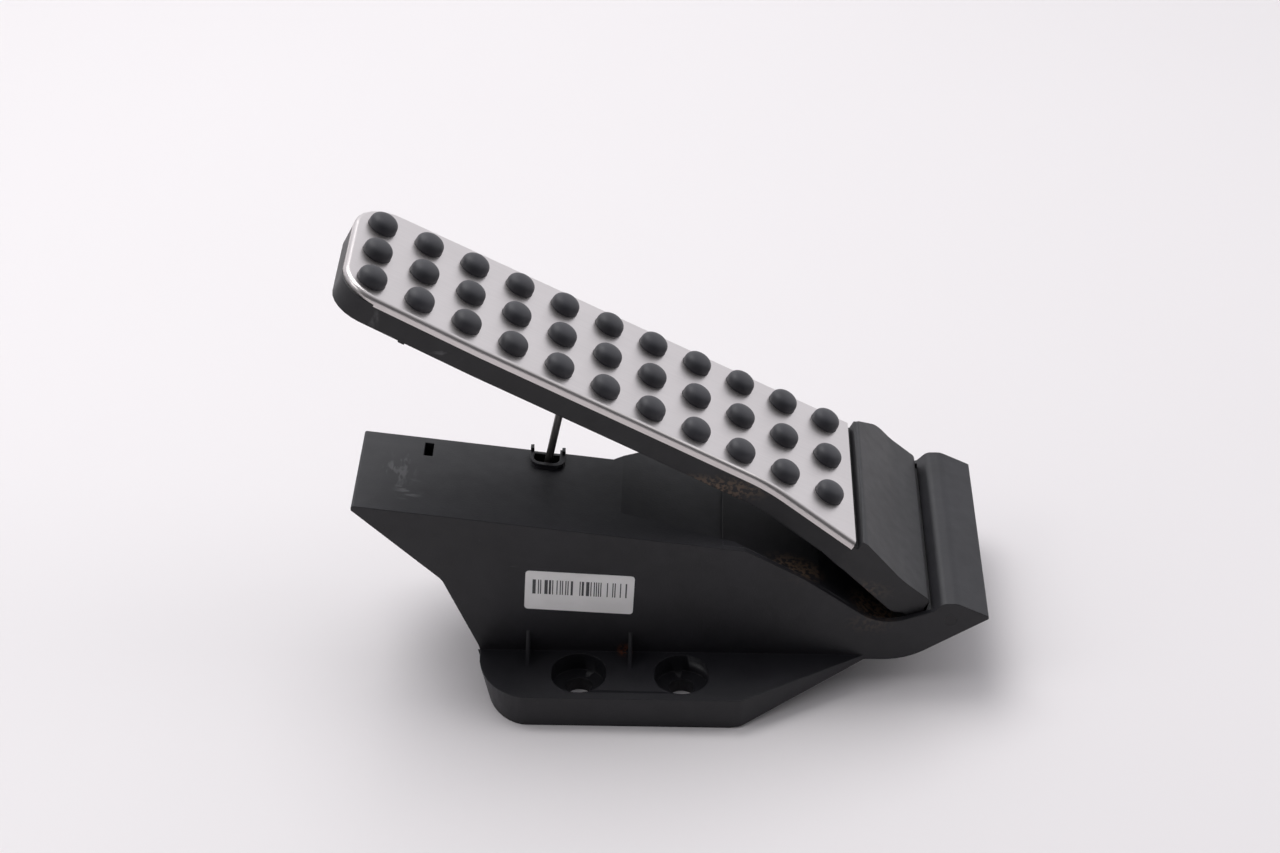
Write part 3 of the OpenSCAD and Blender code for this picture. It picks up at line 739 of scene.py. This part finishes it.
slice_plan = ((-96, -1), (-4, -1), (-4, 30), (-96, 30))
slice_low = [(x, y, top_height(x) - cover_drop) for x, y in slice_plan]
slice_high = [(x, y, 90) for x, y in slice_plan]
join_or_cut(cover, loft("slice", [slice_low, slice_high]), "DIFFERENCE")
near = plate_far + 0.05
over_roof = [(-83, near), (-45, near), (-45, 40), (-83, 40)]
join_or_cut(cover, prism("roof_cut", over_roof, roof_top, 58), "DIFFERENCE")
over_neck = [(-62.9, near), (-45, near), (-45, 60), (-62.9, 60)]
join_or_cut(cover, prism("neck_cut", over_neck, neck_top, 58), "DIFFERENCE")
near = plate_far - 0.4
roof = [(-82, near), (-63, near), (-63, socket_far), (-82, socket_far)]
join_or_cut(cover, prism("roof", roof, roof_under, roof_top), "UNION")
smooth(cover)
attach(cover, "housing_body")
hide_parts("sensor_cover")
print("cover triangles:", triangles(cover))

# %% [markdown]
# ## Treadle
# The treadle is one long moulding, and its copy only gets smooth shading. The copy as a whole
# lies 1.5 mm along the tread and 0.8 mm out of it from the solid. That is a known fault: only the
# corners at its tip and on the crown of its heel were meant to move, but every corner was
# selected when edit mode began, because the faces of the copy still were.

# %% Treadle
pad_reach = 218.67
pad_rise = 11.19
along = Vector((math.cos(tread_angle), 0, -math.sin(tread_angle)))
out = Vector((math.sin(tread_angle), 0, math.cos(tread_angle)))
tread_origin = (Vector((hinge_x, 0, hinge_z)) - along * pad_reach + out * pad_rise) * MM

treadle = copy_of("treadle", "treadle_shell")
for move in (along * 1.5, out * 0.8):
    bpy.ops.object.mode_set(mode="EDIT")
    bpy.ops.mesh.select_all(action="SELECT")
    bpy.ops.transform.translate(value=move * MM)
    bpy.ops.object.mode_set(mode="OBJECT")
smooth(treadle)
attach(treadle, "treadle_body")
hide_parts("treadle")
print("treadle triangles:", triangles(treadle))

# %% [markdown]
# ## Outline of the tread plate
# The plate follows the flare of the treadle, and its corners at the tip are wide curves. The
# outline is drawn flat, from a few corners that each have a radius, and is laid on the tread
# when the plate is finished.

# %% Outline of the tread plate
heel_line = 176.3
plate_corners = [
    (-9.1, -25.8, 13), (40, -28.3, 60), (100, -29.3, 60), (145, -30.3, 40),
    (heel_line, -42.3, 0), (heel_line, 29.5, 0), (-9.1, 29.5, 15),
]


def rounded(corners, steps=8):
    """The outline with an arc of the given radius at each corner."""
    points = []
    for k, (x, y, radius) in enumerate(corners):
        if radius == 0:
            points.append((x, y))
            continue
        here = Vector((x, y))
        back = (Vector(corners[k - 1][:2]) - here).normalized()
        ahead = (Vector(corners[(k + 1) % len(corners)][:2]) - here).normalized()
        half = back.angle(ahead) / 2
        centre = here + (back + ahead).normalized() * radius / math.sin(half)
        first = here + back * radius / math.tan(half) - centre
        last = here + ahead * radius / math.tan(half) - centre
        for i in range(steps + 1):
            arm = first.lerp(last, i / steps).normalized() * radius
            points.append(tuple(centre + arm))
    return points


def lay_on_tread(piece):
    """Turns a piece drawn flat onto the tread and fixes its place in its mesh."""
    piece.location = tread_origin
    piece.rotation_euler = (0, tread_angle, 0)
    pick(piece)
    bpy.ops.object.transform_apply(location=True, rotation=True, scale=True)


rim = rounded(plate_corners)
print("rim points:", len(rim))

# %% [markdown]
# ## Tread plate
# The real plate is sheet steel with its rim rolled down on three sides, so it is modelled as the
# press makes it: a flat face of its outline, whose rim is extruded down and bevelled round, then
# given its thickness by Solidify. The heel edge stays flat.

# %% Tread plate
rim_drop = 3
rim_round = 1.5
steel_thickness = 0.8

plate_mesh = bpy.data.meshes.new("plate")
plate_mesh.from_pydata([(x * MM, y * MM, 0) for x, y in rim], [], [list(range(len(rim)))])
plate = bpy.data.objects.new("plate_steel", plate_mesh)
bpy.context.scene.collection.objects.link(plate)


def ends_of(edge):
    """The places of the two ends of an edge of the plate."""
    return [plate.data.vertices[v].co for v in edge.vertices]


def off_the_heel(edge):
    return not all(end.x > heel_line * MM - 1e-6 for end in ends_of(edge))


pick(plate)
bpy.ops.object.mode_set(mode="EDIT")
bpy.ops.mesh.select_mode(type="EDGE")
bpy.ops.mesh.select_all(action="SELECT")
bpy.ops.mesh.normals_make_consistent(inside=False)
bpy.ops.object.mode_set(mode="OBJECT")
for edge in plate.data.edges:
    edge.select = off_the_heel(edge)
bpy.ops.object.mode_set(mode="EDIT")
bpy.ops.mesh.extrude_edges_move(TRANSFORM_OT_translate={"value": (0, 0, -rim_drop * MM)})
bpy.ops.object.mode_set(mode="OBJECT")
for edge in plate.data.edges:
    at_top = all(abs(end.z) < 1e-6 for end in ends_of(edge))
    edge.select = at_top and off_the_heel(edge)
bpy.ops.object.mode_set(mode="EDIT")
bpy.ops.mesh.bevel(offset=rim_round * MM, segments=5, profile=0.5, affect="EDGES")
bpy.ops.object.mode_set(mode="OBJECT")
if plate.data.polygons[0].normal.z < 0:
    plate.data.flip_normals()
thick = plate.modifiers.new("thick", "SOLIDIFY")
thick.thickness = steel_thickness * MM
thick.offset = -1
bpy.ops.object.modifier_apply(modifier="thick")
print("plate triangles before the holes:", triangles(plate))

# %% [markdown]
# ## One stud
# A stud is a low dome on a short upright side. A bevelled cylinder would look like a coin, so a
# sphere is pressed into shape instead: the power in its formula gives an oval with full
# shoulders. Its lower half becomes a straight root that stands in the sheet.

# %% One stud
stud_radius = 4.9
side_height = 0.7
dome_height = 3.7
root_depth = -1.2
shoulder = 0.78

bpy.ops.object.select_all(action="DESELECT")
bpy.ops.mesh.primitive_uv_sphere_add(segments=40, ring_count=24, radius=1)
stud = bpy.context.object
stud.name = "stud"
for point in stud.data.vertices:
    height = max(-1, min(1, point.co.z))
    girth = math.sqrt(1 - height * height)
    if height >= -1e-6:
        wide = stud_radius * girth ** shoulder
        tall = side_height + dome_height * abs(height) ** shoulder
    else:
        wide = stud_radius * min(1, girth * 1.4)
        tall = root_depth if height < -0.3 else side_height
    turn = math.atan2(point.co.y, point.co.x)
    point.co = (wide * math.cos(turn) * MM, wide * math.sin(turn) * MM, tall * MM)
bpy.ops.object.mode_set(mode="EDIT")
bpy.ops.mesh.select_all(action="SELECT")
bpy.ops.mesh.remove_doubles(threshold=1e-7)
bpy.ops.object.mode_set(mode="OBJECT")
print("stud triangles:", triangles(stud))

# %% [markdown]
# ## Studs and holes
# The studs stand in eleven rows of three, and the outer ones fan out toward the heel. At each
# place a copy of the stud and a cutter for its hole are put. The cutters join into one solid, so
# the plate is cut once.

# %% Studs and holes
columns = 11
pitch = 16.66
spread_tip = 17.12
spread_heel = 21.55
hole_radius = 5.0

places = []
for k in range(columns):
    spread = spread_tip + (spread_heel - spread_tip) * k / (columns - 1)
    places += [(pitch * k, row * spread) for row in (-1, 0, 1)]
studs = []
cutters = []
for x, y in places:
    pick(stud)
    bpy.ops.object.duplicate()
    twin = bpy.context.object
    twin.location = (x * MM, y * MM, 0)
    bpy.ops.object.transform_apply(location=True)
    studs.append(twin)
    bpy.ops.object.select_all(action="DESELECT")
    bpy.ops.mesh.primitive_cylinder_add(
        vertices=48, radius=hole_radius * MM, depth=4 * MM, location=(x * MM, y * MM, 0))
    bpy.ops.object.transform_apply(location=True)
    cutters.append(bpy.context.object)
bpy.data.objects.remove(stud)
join_or_cut(plate, join(cutters), "DIFFERENCE")
lay_on_tread(plate)
smooth(plate, 40)
plate.data.materials.append(steel_plate)
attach(plate, "treadle_body")
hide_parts("tread_plate")
print("studs:", len(studs), "plate triangles:", triangles(plate))

# %% [markdown]
# ## The rubber mat
# Under the plate all the studs are one moulding with a thin sheet, so that none can be lost. The
# sheet is a slab of a slightly smaller outline, and the studs are joined to it.

# %% The rubber mat
sheet_corners = [
    (-7.7, -24.4, 11.6), (40, -26.9, 60), (100, -27.9, 60), (144.6, -28.9, 40),
    (174.9, -40.4, 0), (174.9, 28.1, 0), (-7.7, 28.1, 13.6)]
sheet = prism("sheet", rounded(sheet_corners), -1.6, -0.82)
mat = join([sheet] + studs)
mat.name = "stud_rubber_mat"
lay_on_tread(mat)
smooth(mat, 40)
mat.data.materials.clear()
mat.data.materials.append(stud_rubber)
for face in mat.data.polygons:
    face.material_index = 0
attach(mat, "treadle_body")
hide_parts("stud_mat")
print("mat triangles:", triangles(mat))
